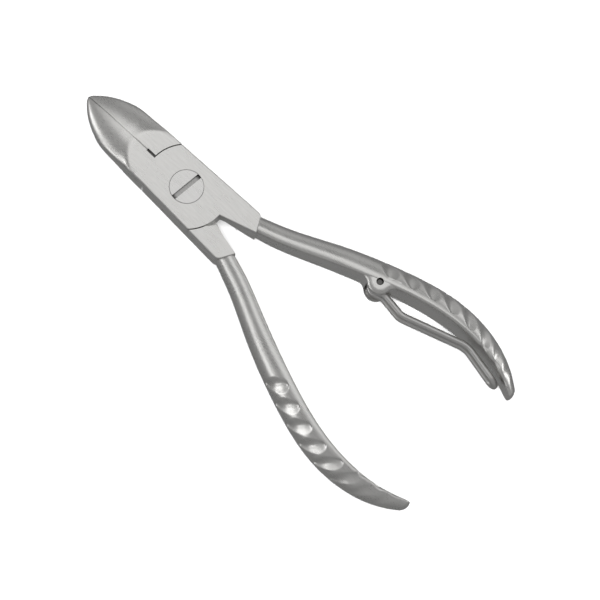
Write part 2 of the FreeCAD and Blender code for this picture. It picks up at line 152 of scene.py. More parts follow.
def carve(piece, tool, operation="DIFFERENCE"):
    """Cut a closed mesh with another, or join the two into one skin."""
    step = piece.modifiers.new("carve", "BOOLEAN")
    step.operation = operation
    step.solver = "MANIFOLD"
    step.object = tool
    settled(piece)
    bpy.data.objects.remove(tool)
    return piece


def prism(name, outline, low, high):
    """An outline raised from low to high."""
    count = len(outline)
    vertices = [(x, y, low) for x, y in outline] + [(x, y, high) for x, y in outline]
    faces = [list(range(count)), list(range(count, 2 * count))]
    faces += [(i, (i + 1) % count, (i + 1) % count + count, i + count) for i in range(count)]
    return new_piece(name, vertices, faces)


def turned(name, profile, centre=(0, 0, 0), steps=96):
    """A solid of revolution about Z: the profile is (radius, height) from axis to axis."""
    vertices = []
    faces = []
    rings = [point for point in profile if point[0] > 0]
    for radius, height in rings:
        for step in range(steps):
            angle = 2 * math.pi * step / steps
            vertices.append((centre[0] + radius * math.cos(angle),
                             centre[1] + radius * math.sin(angle), centre[2] + height))
    for ring in range(len(rings) - 1):
        for step in range(steps):
            after = (step + 1) % steps
            faces.append((ring * steps + step, ring * steps + after,
                          (ring + 1) * steps + after, (ring + 1) * steps + step))
    faces.append(list(range(steps)))
    faces.append(list(range((len(rings) - 1) * steps, len(rings) * steps)))
    return new_piece(name, vertices, faces)


def arc(centre, radius, start, finish, steps):
    """Points along an arc, both ends included, angles in degrees."""
    angles = [math.radians(start + (finish - start) * step / steps) for step in range(steps + 1)]
    return [(centre[0] + radius * math.cos(a), centre[1] + radius * math.sin(a)) for a in angles]


def skin(name, rings):
    """A closed skin through rings that have equally many points."""
    around = len(rings[0])
    faces = []
    for row in range(len(rings) - 1):
        for step in range(around):
            after = (step + 1) % around
            faces.append((row * around + step, row * around + after,
                          (row + 1) * around + after, (row + 1) * around + step))
    faces.append(list(range(around)))
    faces.append(list(range((len(rings) - 1) * around, len(rings) * around)))
    return new_piece(name, [point for ring in rings for point in ring], faces)


# %% [markdown]
# ## The handle's shape
# A handle is a D in section: flat towards the hand's gap, round outside. Its sizes are
# probed from the plain back lever with rays and smoothed with a polynomial, which
# follows the design to a few hundredths and has none of its small facets.
# %% Probe the handle
PROBE_START = 21.2
PROBE_END = 95.7
PROBE_COUNT = 220
WELL_OUTSIDE = 60.0
INTO_THE_STEEL = 0.02
SMOOTHING_DEGREE = 9


def first_hit(tree, x, y, z, way):
    """Where a ray from a point in millimetres meets the frame's skin."""
    spot, _, _, distance = tree.ray_cast(Vector((x, y, z)) * MM, Vector(way))
    return None if spot is None else spot / MM


tree = BVHTree.FromObject(frame["nodes"]["back_lever"], bpy.context.evaluated_depsgraph_get())
probes = []
for x in np.linspace(-PROBE_START, -PROBE_END, PROBE_COUNT):
    inner = first_hit(tree, x, 0.0, MIDDLE, (0, 1, 0))
    outer = first_hit(tree, x, WELL_OUTSIDE, MIDDLE, (0, -1, 0))
    top = first_hit(tree, x, inner.y + INTO_THE_STEEL, WELL_OUTSIDE, (0, 0, -1))
    probes.append((-x, outer.y, inner.y, top.z - MIDDLE))
reach, outer_side, inner_side, half_depth = np.array(probes).T
fits = [np.polynomial.Polynomial.fit(reach, side, SMOOTHING_DEGREE)
        for side in (outer_side, inner_side, half_depth)]
misses = [float(np.abs(fit(reach) - side).max())
          for fit, side in zip(fits, (outer_side, inner_side, half_depth))]
print("handle probed at", len(reach), "places, largest misses", [round(m, 3) for m in misses])

# %% [markdown]
# The handle's skin is a grid: rows along the handle, and round each row the flat inner
# face, a small rounded edge, the round back and the other edge. Two numbers stay on
# every point for the scoops cut next: how far it is along the handle's back, and how
# far round from the back's crown.
# %% Build the handle's grid
EDGE_ROUND = 0.75
ROW_SPACING = 0.22
BURIED_REACH = 17.4
STRAIGHT_BEFORE = PROBE_START + 0.4
END_ROUND = 0.9
END_LEAST = 0.02
END_DEPTH = (0.35, 0.65)
LARGEST_EDGE = 0.45
FINE_STEPS = 1600
FLAT_STEPS, EDGE_STEPS, BACK_STEPS = 8, 6, 76


def handle_sizes(distance):
    """The D's outer side, inner side and half depth, carried on straight into the step."""
    inside = max(distance, STRAIGHT_BEFORE)
    outer, inner, half = (float(fit(inside)) for fit in fits)
    lead = inside - distance
    slopes = [float(fit.deriv()(inside)) for fit in fits]
    return outer - lead * slopes[0], inner - lead * slopes[1], half - lead * slopes[2]


def d_section(outer, inner, half):
    """Points round the D, each with its distance round from the crown of the back."""
    rise = outer - inner
    radius = (half * half + rise * rise) / (2 * rise)
    centre = outer - radius
    edge = min(EDGE_ROUND, LARGEST_EDGE * rise)
    edge_y = inner + edge
    edge_z = math.sqrt((radius - edge) ** 2 - (edge_y - centre) ** 2)
    tangent = math.atan2(edge_z, edge_y - centre)
    points = []
    for step in range(FLAT_STEPS):
        z = edge_z * (2 * step / FLAT_STEPS - 1)
        points.append((inner, z, radius * tangent + edge_z))
    for step in range(EDGE_STEPS):
        turn = math.pi - (math.pi - tangent) * step / EDGE_STEPS
        points.append((edge_y + edge * math.cos(turn), edge_z + edge * math.sin(turn), radius * tangent))
    for step in range(BACK_STEPS):
        turn = tangent * (1 - 2 * step / BACK_STEPS)
        points.append((centre + radius * math.cos(turn), radius * math.sin(turn), radius * abs(turn)))
    for step in range(EDGE_STEPS):
        turn = -tangent - (math.pi - tangent) * step / EDGE_STEPS
        points.append((edge_y + edge * math.cos(turn), -edge_z + edge * math.sin(turn), radius * tangent))
    return points


def back_length():
    """Distances behind the pivot in equal steps along the handle's back."""
    fine = np.linspace(BURIED_REACH, HANDLE_END, FINE_STEPS)
    side = np.array([handle_sizes(x)[0] for x in fine])
    length = np.concatenate([[0], np.cumsum(np.hypot(np.diff(fine), np.diff(side)))])
    count = int(length[-1] / ROW_SPACING)
    even = np.linspace(0, length[-1], count)
    return np.interp(even, length, fine), even


def handle_blank(name):
    """The plain handle, on the -Y side, with its two scoop measures."""
    rings = []
    along = []
    around = []
    for distance, length in zip(*back_length()):
        outer, inner, half = handle_sizes(distance)
        points = d_section(outer, inner, half)
        left = max(HANDLE_END - distance, 0) / END_ROUND
        shrink = math.sqrt(max(1 - (1 - left) ** 2, END_LEAST)) if left < 1 else 1.0
        depth = END_DEPTH[0] + END_DEPTH[1] * shrink
        heart = (outer + inner) / 2
        rings.append([(-distance, -(heart + (y - heart) * shrink), MIDDLE + z * depth)
                      for y, z, _ in points])
        along += [length] * len(points)
        around += [measure for _, _, measure in points]
    piece = skin(name, rings)
    for measure, numbers in (("along", along), ("around", around)):
        layer = piece.data.attributes.new(measure, "FLOAT", "POINT")
        layer.data.foreach_set("value", np.array(numbers, np.float32))
    print(name, len(rings), "rows of", len(rings[0]), "points, back", round(along[-1], 1), "mm long")
    return piece


# %% [markdown]
# ## The scoops
# Each handle's back carries a row of slanting scoops, ground in one after another: soft
# on the pivot's side, crisp on the far side, pointed at the crown and round at the inner
# end. One Geometry Nodes tree presses them all into the grid, so their pitch, lean, width
# and depth are each one number.
# %% Write helpers for node trees
def calculated(tree, operation, *sources, clamp=False):
    """A Math node fed by sockets or plain numbers."""
    node = tree.nodes.new("ShaderNodeMath")
    node.operation = operation
    node.use_clamp = clamp
    for socket, source in zip(node.inputs, sources):
        if isinstance(source, (int, float)):
            socket.default_value = source
        else:
            tree.links.new(source, socket)
    return node.outputs[0]


def new_tree(name, numbers):
    """A Geometry Nodes tree with a geometry input, named number inputs and a material."""
    tree = bpy.data.node_groups.new(name, "GeometryNodeTree")
    tree.interface.new_socket("Geometry", in_out="INPUT", socket_type="NodeSocketGeometry")
    for number in numbers:
        tree.interface.new_socket(number, in_out="INPUT", socket_type="NodeSocketFloat")
    tree.interface.new_socket("Material", in_out="INPUT", socket_type="NodeSocketMaterial")
    tree.interface.new_socket("Geometry", in_out="OUTPUT", socket_type="NodeSocketGeometry")
    entry = tree.nodes.new("NodeGroupInput")
    return tree, entry


def close_tree(tree, entry, geometry):
    """End a tree in Realize Instances and Set Material."""
    real = tree.nodes.new("GeometryNodeRealizeInstances")
    coat = tree.nodes.new("GeometryNodeSetMaterial")
    leave = tree.nodes.new("NodeGroupOutput")
    tree.links.new(geometry, real.inputs["Geometry"])
    tree.links.new(real.outputs["Geometry"], coat.inputs["Geometry"])
    tree.links.new(entry.outputs["Material"], coat.inputs["Material"])
    tree.links.new(coat.outputs["Geometry"], leave.inputs[0])


def run_tree(piece, tree, values):
    """Run a tree on a piece with named values, and keep the plain mesh."""
    step = piece.modifiers.new(tree.name, "NODES")
    step.node_group = tree
    for item in tree.interface.items_tree:
        if item.in_out == "INPUT" and item.name in values:
            step[item.identifier] = values[item.name]
    return settled(piece)


def stored(tree, name):
    """A number stored on the points."""
    node = tree.nodes.new("GeometryNodeInputNamedAttribute")
    node.data_type = "FLOAT"
    node.inputs["Name"].default_value = name
    return next(socket for socket in node.outputs if socket.enabled and socket.name == "Attribute")


# %% [markdown]
# Each point works out which scoop it lies in, and how far across and along it. The
# hollow across is steep on the crisp side and runs out softly on the other, and the last
# scoops fade into the plain handle end.
# %% Build the scoop tree
SCOOPS = {"Pitch": 5.85, "First": 31.0, "Count": 8.0, "Fade from": 4.0, "Lean": 0.69,
          "Width": 5.2, "Depth": 0.70, "Crown": 0.9, "Widest": 4.8, "End": 8.0}
LEAST_BREADTH = 0.001
TO_FULL_DEPTH = 2.604
scoop_tree, entry = new_tree("handle_scoops", tuple(SCOOPS))
size = entry.outputs


def calc(operation, *sources, clamp=False):
    """A Math node in the scoop tree."""
    return calculated(scoop_tree, operation, *sources, clamp=clamp)


around = stored(scoop_tree, "around")
slid = calc("SUBTRACT", calc("SUBTRACT", stored(scoop_tree, "along"), size["First"]),
            calc("MULTIPLY", around, size["Lean"]))
turns = calc("DIVIDE", slid, size["Pitch"])
number = calc("FLOOR", turns)
place = calc("SUBTRACT", calc("SUBTRACT", turns, number), 0.5)
to_widest = calc("DIVIDE", calc("SUBTRACT", around, size["Crown"]),
                 calc("SUBTRACT", size["Widest"], size["Crown"]), clamp=True)
past_widest = calc("DIVIDE", calc("SUBTRACT", around, size["Widest"]),
                   calc("SUBTRACT", size["End"], size["Widest"]), clamp=True)
round_end = calc("SQRT", calc("SUBTRACT", 1.0, calc("MULTIPLY", past_widest, past_widest)))
leaf = calc("MULTIPLY", calc("SQRT", to_widest), round_end)
breadth = calc("DIVIDE", calc("MULTIPLY", leaf, size["Width"]), size["Pitch"])
breadth = calc("MAXIMUM", breadth, LEAST_BREADTH)
across = calc("ADD", calc("DIVIDE", place, breadth), 0.5, clamp=True)
from_crisp = calc("SUBTRACT", 1.0, across)
soft_side = calc("SUBTRACT", 1.0, calc("POWER", from_crisp, 3.0))
hollow = calc("MULTIPLY", from_crisp, calc("MULTIPLY", soft_side, soft_side))
hollow = calc("MULTIPLY", hollow, TO_FULL_DEPTH)
fading = calc("SUBTRACT", 1.0, calc("DIVIDE", calc("SUBTRACT", number, size["Fade from"]),
                                    calc("SUBTRACT", size["Count"], size["Fade from"]), clamp=True))
in_row = calc("MULTIPLY", calc("GREATER_THAN", number, -0.5),
              calc("LESS_THAN", number, calc("SUBTRACT", size["Count"], 0.5)))
depth_here = calc("MULTIPLY", in_row, size["Depth"])
strength = calc("MULTIPLY", calc("MULTIPLY", calc("SQRT", leaf), fading), depth_here)
press = calc("MULTIPLY", calc("MULTIPLY", hollow, strength), -1.0)
normal = scoop_tree.nodes.new("GeometryNodeInputNormal")
shift = scoop_tree.nodes.new("ShaderNodeVectorMath")
shift.operation = "SCALE"
move = scoop_tree.nodes.new("GeometryNodeSetPosition")
scoop_tree.links.new(normal.outputs["Normal"], shift.inputs[0])
scoop_tree.links.new(press, shift.inputs["Scale"])
scoop_tree.links.new(entry.outputs["Geometry"], move.inputs["Geometry"])
scoop_tree.links.new(shift.outputs["Vector"], move.inputs["Offset"])
close_tree(scoop_tree, entry, move.outputs["Geometry"])
print("scoop tree:", len(scoop_tree.nodes), "nodes")

# %% [markdown]
# ## The joint's flat and its lap
# The flat is an outline raised to the full thickness. Its long edges are well rounded
# and the seam's edges only broken, so the bevel takes each edge's own weight. The lap
# is then cut half through, a hair deeper than the other lever's half.
# %% Build the flat
SEAM_STEPS = 24
SEAM_PAST_MIDDLE = 0.1
NECK = 0.7
CORNER_CUT = 1.1
CORNER_SHARES = (0, 0.25, 0.5, 0.75, 1)
NEAR_SEAM = 0.05
PAST_SEAM = 0.1
LEVEL = 0.001


def side_meets_seam():
    """The angle at which the flaring side, flush with the other lever's, meets the seam."""
    start = math.sqrt(SEAM_RADIUS ** 2 - HALF_WIDTH ** 2)
    flare = (ROOT_HALF_WIDTH - HALF_WIDTH) / (STEP_REACH + start)
    lean = math.atan(flare)
    from_axis = (HALF_WIDTH + flare * start) * math.cos(lean)
    return 180 - math.degrees(math.asin(from_axis / SEAM_RADIUS) + lean)


def lap_outline():
    """The front lever's outline, anticlockwise."""
    side = math.degrees(math.asin(HALF_WIDTH / SEAM_RADIUS))
    inset = math.degrees(math.asin(CROTCH_INSET / SEAM_RADIUS))
    front_seam = arc((0, 0), SEAM_RADIUS, -side, SEAM_PAST_MIDDLE, SEAM_STEPS)
    back_seam = arc((0, 0), SEAM_RADIUS, side_meets_seam(), 180 + inset, SEAM_STEPS)
    neck = SEAM_RADIUS + NECK
    side_start = (front_seam[0][0], HALF_WIDTH)
    points = front_seam + [(neck, JAW_GAP), (neck, HALF_WIDTH), side_start] + back_seam
    inner_end = (-(STEP_REACH + STEP_SLANT), -STEP_INNER)
    corner = Vector((-STEP_REACH, -ROOT_HALF_WIDTH))
    back = Vector(inner_end) - corner
    front = Vector(front_seam[0]) - corner
    cut_back = corner + back.normalized() * CORNER_CUT
    cut_front = corner + front.normalized() * CORNER_CUT
    bend = [tuple(cut_back.lerp(corner, t).lerp(corner.lerp(cut_front, t), t)) for t in CORNER_SHARES]
    points += [inner_end] + bend
    return points


def edge_weight(first, second):
    """How far an outline's edge is rounded: seams least, long sides most."""
    if abs(((first + second) / 2).length - SEAM_RADIUS) < NEAR_SEAM:
        return SEAM_EDGE_ROUND / LONG_EDGE_ROUND
    if max(first[0], second[0]) > SEAM_RADIUS and min(first[0], second[0]) > SEAM_RADIUS - PAST_SEAM:
        return 0.0
    return 1.0


def flat(name):
    """The joint's flat with rounded rims."""
    outline = lap_outline()
    piece = prism(name, outline, 0.0, THICKNESS)
    layer = piece.data.attributes.new("bevel_weight_edge", "FLOAT", "EDGE")
    for edge in piece.data.edges:
        first, second = (piece.data.vertices[i].co for i in edge.vertices)
        if abs(first.z - second.z) < LEVEL:
            layer.data[edge.index].value = edge_weight(first.xy, second.xy)
    rim = piece.modifiers.new("rim", "BEVEL")
    rim.limit_method = "WEIGHT"
    rim.width = LONG_EDGE_ROUND
    rim.segments = 5
    rim.offset_type = "OFFSET"
    return settled(piece)


def lap_room():
    """The space for the other lever's half lap, its rim a little flared."""
    radius = SEAM_RADIUS + SEAM_GAP
    top = MIDDLE + LAP_GAP / 2
    profile = [(radius + RIM_BREAK, -OVERRUN), (radius + RIM_BREAK, 0), (radius, RIM_BREAK), (radius, top)]
    return turned("lap_room", profile, steps=128)


CROTCH_SHARES = ((0, -0.37), (-0.95, -0.37), (-1.11, -0.18))
CROTCH_TOP = 0.3


def crotch_room():
    """The relief behind the lap, which opens the crotch between the handles."""
    corners = [(x * SEAM_RADIUS, y * SEAM_RADIUS) for x, y in CROTCH_SHARES]
    corners += [(-(STEP_REACH + STEP_SLANT), -STEP_INNER), (0, CROTCH_INSET + CROTCH_TOP * SEAM_RADIUS)]
    return prism("crotch_room", corners[::-1], -OVERRUN, MIDDLE + LAP_GAP / 2)


def relief_slot():
    """The narrow slot that ends the cutting edges at the joint."""
    low, high = -RELIEF_HALF_WIDTH, RELIEF_HALF_WIDTH
    start = SEAM_RADIUS - RUNNING_GAP
    corners = [(start, low), (RELIEF_REACH, low), (RELIEF_REACH, high), (start, high)]
    return prism("relief_slot", corners, -OVERRUN, THICKNESS + OVERRUN)


print("flat's outline:", len(lap_outline()), "points")


# %% [markdown]
# ## The barrel jaws
# A jaw is half a barrel that runs out of the flat and closes to a blunt tip. Rays from
# the barrel's axis give its rings: each takes the nearer of the barrel and the flat's
# own sides, softened where the two meet, so the ground flat ends in the soft line
# that the real jaw has. The back is hollowed out behind the cutting edge.
# %% Build a jaw
JAW_STATIONS = (
    (0.00, 1.300, 1.900), (0.126, 1.235, 1.375), (0.291, 1.160, 1.020), (0.466, 1.055, 0.865),
    (0.631, 0.890, 0.715), (0.776, 0.675, 0.550), (0.883, 0.440, 0.400), (0.965, 0.190, 0.250),
    (1.00, 0.065, 0.150),
)
HOLLOW_STATIONS = ((0.146, 1.00, 1.26), (0.466, 0.95, 0.865), (0.776, 0.68, 0.55), (0.903, 0.32, 0.30))
HOLLOW_HALF_WIDTH = 1.9
EDGE_LAND = 0.4
JAW_ROWS = 150
JAW_STEPS = 72
SHARPNESS = 45
CUTTING_EDGE_BREAK = 0.12
BOX_AT_JOINT = 2.5
BOX_AT_TIP = 2.1
JAW_OVERLAP = 0.05
SHY_OF_FACE = 0.004
BLUNT_FROM, BLUNT_LENGTH, BLUNT_LEAST = 0.985, 0.015, 0.03
HOLLOW_ROWS = 60
HOLLOW_STEPS = 64
TINY = 1e-6
print(f"jaw {JAW_TIP - SEAM_RADIUS:.1f} mm long")


def smooth_through(stations, column, share):
    """A smooth curve through one column of a station table."""
    shares = [station[0] for station in stations]
    sizes = [station[column] for station in stations]
    row = min(max(int(np.searchsorted(shares, share)) - 1, 0), len(shares) - 2)
    slopes = np.gradient(sizes, shares)
    span = shares[row + 1] - shares[row]
    t = (share - shares[row]) / span
    start = (2 * t ** 3 - 3 * t ** 2 + 1) * sizes[row] + (t ** 3 - 2 * t ** 2 + t) * span * slopes[row]
    finish = (3 * t ** 2 - 2 * t ** 3) * sizes[row + 1] + (t ** 3 - t ** 2) * span * slopes[row + 1]
    return float(start + finish)


def to_flat_sides(across, up):
    """How far the flat's own rounded outline is from the barrel's axis, along a ray."""
    heart_y = HALF_WIDTH - JAW_GAP - LONG_EDGE_ROUND
    heart_z = MIDDLE - SHY_OF_FACE - LONG_EDGE_ROUND
    near = min((heart_y + LONG_EDGE_ROUND) / across, (heart_z + LONG_EDGE_ROUND) / max(abs(up), TINY))
    if near * across > heart_y and near * abs(up) > heart_z:
        along = across * heart_y + abs(up) * heart_z
        near = along + math.sqrt(along ** 2 - heart_y ** 2 - heart_z ** 2 + LONG_EDGE_ROUND ** 2)
    return near


def jaw_blank(name):
    """Half the barrel, on the +Y side of the cutting line."""
    rings = []
    for row in range(JAW_ROWS + 1):
        share = math.sin(math.pi / 2 * row / JAW_ROWS)
        width = smooth_through(JAW_STATIONS, 1, share) * HALF_WIDTH
        height = smooth_through(JAW_STATIONS, 2, share) * MIDDLE
        blunt = math.sqrt(max(1 - max(share - BLUNT_FROM, 0) / BLUNT_LENGTH, BLUNT_LEAST))
        box = BOX_AT_TIP + (BOX_AT_JOINT - BOX_AT_TIP) * (1 - share) ** 2
        ring = []
        for step in range(JAW_STEPS + 1):
            turn = math.pi * (step / JAW_STEPS - 0.5)
            across, up = max(math.cos(turn), TINY), math.sin(turn)
            to_barrel = ((across / width) ** box + (abs(up) / height) ** box) ** (-1 / box)
            to_sides = to_flat_sides(across, up)
            near = to_sides * (1 + (to_sides / to_barrel) ** SHARPNESS) ** (-1 / SHARPNESS)
            near -= CUTTING_EDGE_BREAK if step in (0, JAW_STEPS) else 0.0
            ring.append((SEAM_RADIUS + JAW_OVERLAP + share * (JAW_TIP - SEAM_RADIUS - JAW_OVERLAP),
                         JAW_GAP + near * across * blunt, MIDDLE + near * up * blunt))
        rings.append(ring)
    return skin(name, rings)


def jaw_hollow(back_face):
    """The hollow ground into the jaws from the tool's back."""
    rings = []
    first, last = HOLLOW_STATIONS[0][0], HOLLOW_STATIONS[-1][0]
    for row in range(HOLLOW_ROWS + 1):
        share = first + (last - first) * row / HOLLOW_ROWS
        width = smooth_through(HOLLOW_STATIONS, 1, share) * HOLLOW_HALF_WIDTH
        height = MIDDLE + min(smooth_through(HOLLOW_STATIONS, 2, share), 1.0) * MIDDLE - EDGE_LAND
        x = SEAM_RADIUS + share * (JAW_TIP - SEAM_RADIUS)
        rings.append([(x, width * math.cos(turn), back_face + height * math.sin(turn))
                      for turn in np.linspace(0, 2 * math.pi, HOLLOW_STEPS, endpoint=False)])
    return skin("jaw_hollow", rings)


# %% [markdown]
# ## The spring's lug
# The front handle has a round lug on its inner face. Its sides run into the face in
# hollow curves, it is drilled for the pin, and a slot parts it into two cheeks. The
# slot is as deep towards the pivot as the eyes need, because the wire leaves on that side.
# %% Build the lug
LUG_RADIUS = 3.2
LUG_FOOT = 5.2
LUG_ROOT = 1.9
LUG_DEPTH = 10.8
LUG_RIM = 1.7
LUG_RIM_DROP = 0.8
LUG_RIM_STEPS = 8
LUG_RISE = 0.03
PIN_HOLE_RADIUS = 0.96
WIRE_RADIUS = 0.85
WIRE_SPACING = 4.2
SPRING_GAP = 0.25
SLOT_HEIGHT = WIRE_SPACING + 2 * WIRE_RADIUS + 2 * SPRING_GAP
EYE_RADIUS = 1.85
lug_slope = math.atan(float(fits[1].deriv()(-PIN.x)))
print(f"lug's slot {SLOT_HEIGHT:.2f} mm high, the handle slopes {math.degrees(lug_slope):.1f} degrees there")


def along_handle(points):
    """Turn and shift lug points to lie along the front handle's inner face at the pin."""
    turn = Matrix.Rotation(lug_slope, 2)
    return [tuple(turn @ Vector(point) + PIN.xy) for point in points]


def lug_outline(inset):
    """A circle whose two sides sweep down into the handle's face, drawn in by an inset."""
    sweep = (LUG_FOOT ** 2 - LUG_RADIUS ** 2) / (2 * LUG_RADIUS)
    lean = math.degrees(math.atan2(sweep, LUG_FOOT))
    right = arc((LUG_FOOT, sweep), sweep + inset, 270, 180 + lean, 10)
    crown = arc((0, 0), LUG_RADIUS - inset, lean, 180 - lean, 40)
    left = [(-x, y) for x, y in reversed(right)]
    return [(-LUG_FOOT, -LUG_ROOT), (LUG_FOOT, -LUG_ROOT)] + right + crown[1:-1] + left


def lug(name):
    """The lug before it is drilled and slotted, its faces flush with the handle's."""
    rings = []
    for side in (-1, 1):
        for step in range(LUG_RIM_STEPS + 1):
            turn = math.pi / 2 * (step if side < 0 else LUG_RIM_STEPS - step) / LUG_RIM_STEPS
            inset = LUG_RIM * (1 - math.sin(turn))
            drop = LUG_RIM_DROP * (1 - math.cos(turn)) - LUG_RISE
            rings.append([(x, y, MIDDLE + side * (handle_sizes(-x)[2] - drop))
                          for x, y in along_handle(lug_outline(inset))])
    return skin(name, rings)


def lug_cutters():
    """The pin's hole, the eyes' room and the window that the wire swings in."""
    hole = turned("pin_hole", [(PIN_HOLE_RADIUS, -LUG_DEPTH), (PIN_HOLE_RADIUS, LUG_DEPTH)],
                  (PIN.x, PIN.y, MIDDLE), 48)
    half = SLOT_HEIGHT / 2
    room = EYE_RADIUS + WIRE_RADIUS + SPRING_GAP
    eyes = turned("eye_room", [(room, -half), (room, half)], (PIN.x, PIN.y, MIDDLE), 64)
    back, top = -2.5 * LUG_RADIUS, 2 * LUG_RADIUS
    corners = along_handle([(room, 0), (room, top), (back, top), (back, 0)])
    window = prism("window", corners, MIDDLE - half, MIDDLE + half)
    return [hole, eyes, window]


# %% [markdown]
# ## The two forgings
# Both levers come from one forging: flat, jaw and handle in one skin, then the milled
# cuts. The front one has the lug and the screw's counterbore, the back one the threaded
# hole, and the back one is turned over about the tool's long axis.
# %% Build a lever
SCREW_HEAD_HEIGHT = 1.7
SCREW_SHOULDER = 2.6
THREAD_RADIUS = 2.1


def screw_room():
    """The counterbore and running hole for the screw, the mouth slightly broken."""
    head = HEAD_RADIUS + RUNNING_GAP
    bore = SCREW_SHOULDER + RUNNING_GAP
    floor = THICKNESS - SCREW_HEAD_HEIGHT
    profile = [(bore, -OVERRUN), (bore, floor), (head, floor), (head, THICKNESS - RIM_BREAK),
               (head + RIM_BREAK, THICKNESS), (head + RIM_BREAK, THICKNESS + OVERRUN)]
    return turned("screw_room", profile)


def thread_room():
    """The threaded hole's plain size, its outer mouth slightly broken."""
    radius = THREAD_RADIUS + TIGHT_GAP
    profile = [(radius, MIDDLE - OVERRUN), (radius, THICKNESS - RIM_BREAK),
               (radius + RIM_BREAK, THICKNESS), (radius + RIM_BREAK, THICKNESS + OVERRUN)]
    return turned("thread_room", profile)


def forging(name, back_face, extra_metal, cutters, material):
    """One lever in the front lever's place, as one closed skin in millimetres."""
    handle = handle_blank(name)
    run_tree(handle, scoop_tree, {**SCOOPS, "Material": material})
    for metal in [flat("flat"), jaw_blank("jaw"), *extra_metal]:
        carve(handle, metal, "UNION")
    for cutter in [lap_room(), crotch_room(), relief_slot(), jaw_hollow(back_face), *cutters]:
        carve(handle, cutter)
    print(name, len(handle.data.vertices), "points")
    return handle


# %% [markdown]
# ## Satin steel
# The whole tool is stainless steel with a satin finish: fine parallel scratches that
# spread the gloss across them, and faint cloudiness. Fine noise, stretched along the
# grinding direction, drives a bump, the tone and the roughness.
# %% Write helpers for the finishes
def stretched_noise(tree, coordinates, scale, grain, turn=0.0, detail=3.0):
    """Noise drawn out along X after a turn about Z."""
    mapping = tree.nodes.new("ShaderNodeMapping")
    mapping.inputs["Rotation"].default_value = (0, 0, turn)
    mapping.inputs["Scale"].default_value = scale
    noise = tree.nodes.new("ShaderNodeTexNoise")
    noise.inputs["Scale"].default_value = grain
    noise.inputs["Detail"].default_value = detail
    tree.links.new(coordinates, mapping.inputs["Vector"])
    tree.links.new(mapping.outputs["Vector"], noise.inputs["Vector"])
    return noise.outputs["Fac"]


def blended(tree, share, first, second):
    """A plain mix of two numbers by a share."""
    mix = tree.nodes.new("ShaderNodeMix")
    mix.data_type = "FLOAT"
    for socket, source in zip((mix.inputs[0], mix.inputs[2], mix.inputs[3]), (share, first, second)):
        if isinstance(source, (int, float)):
            socket.default_value = source
        else:
            tree.links.new(source, socket)
    return mix.outputs[0]


def ranged(tree, source, low, high, from_low=0.3, from_high=0.7):
    """A noise's middle band stretched onto a range."""
    node = tree.nodes.new("ShaderNodeMapRange")
    node.inputs["From Min"].default_value = from_low
    node.inputs["From Max"].default_value = from_high
    node.inputs["To Min"].default_value = low
    node.inputs["To Max"].default_value = high
    tree.links.new(source, node.inputs["Value"])
    return node.outputs["Result"]


# %% [markdown]
# The flats are ground on the slant and everything else along the tool, so the finish
# reads from the mesh which faces are flat. The saw's cut in the screw is marked the same
# way and painted darker than the face round it: partly a duller sawn finish, partly painted
# shade in the recess, with painted shadow deepening towards the cut's far ends.
# %% Build the steel finishes
SCRATCH_ACROSS = math.radians(52)
LONG_GRAIN, SLANT_GRAIN, CLOUD_GRAIN = 5200, 1900, 260
# The cut's tone is partly a duller sawn finish and partly painted shade in the recess; the end tone is
# painted shadow, ramped in between two radii from the axis.
CUT_DULL_AND_SHADE_TONE = 0.56
CUT_END_SHADOW_TONE = 0.10
CUT_SHADOW_BETWEEN = (3.3 * MM, 4.1 * MM)


def cut_dull_and_painted_shade(tree, colour, coordinates):
    """Sawn and bored faces painted darker: partly a duller finish, partly painted shade, with painted shadow
    deepest towards the cut's far ends.
    """
    level = tree.nodes.new("ShaderNodeVectorMath")
    level.operation = "MULTIPLY"
    level.inputs[1].default_value = (1, 1, 0)
    from_axis = tree.nodes.new("ShaderNodeVectorMath")
    from_axis.operation = "LENGTH"
    tree.links.new(coordinates, level.inputs[0])
    tree.links.new(level.outputs["Vector"], from_axis.inputs[0])
    # Painted shadow: the cut goes darker towards its far ends.
    tone = ranged(tree, from_axis.outputs["Value"], CUT_DULL_AND_SHADE_TONE, CUT_END_SHADOW_TONE, *CUT_SHADOW_BETWEEN)
    marked = tree.nodes.new("ShaderNodeAttribute")
    marked.attribute_name = "cut_face"
    share = blended(tree, marked.outputs["Fac"], 1.0, tone)
    darkened = tree.nodes.new("ShaderNodeVectorMath")
    darkened.operation = "SCALE"
    tree.links.new(colour, darkened.inputs[0])
    tree.links.new(share, darkened.inputs["Scale"])
    return darkened.outputs["Vector"]


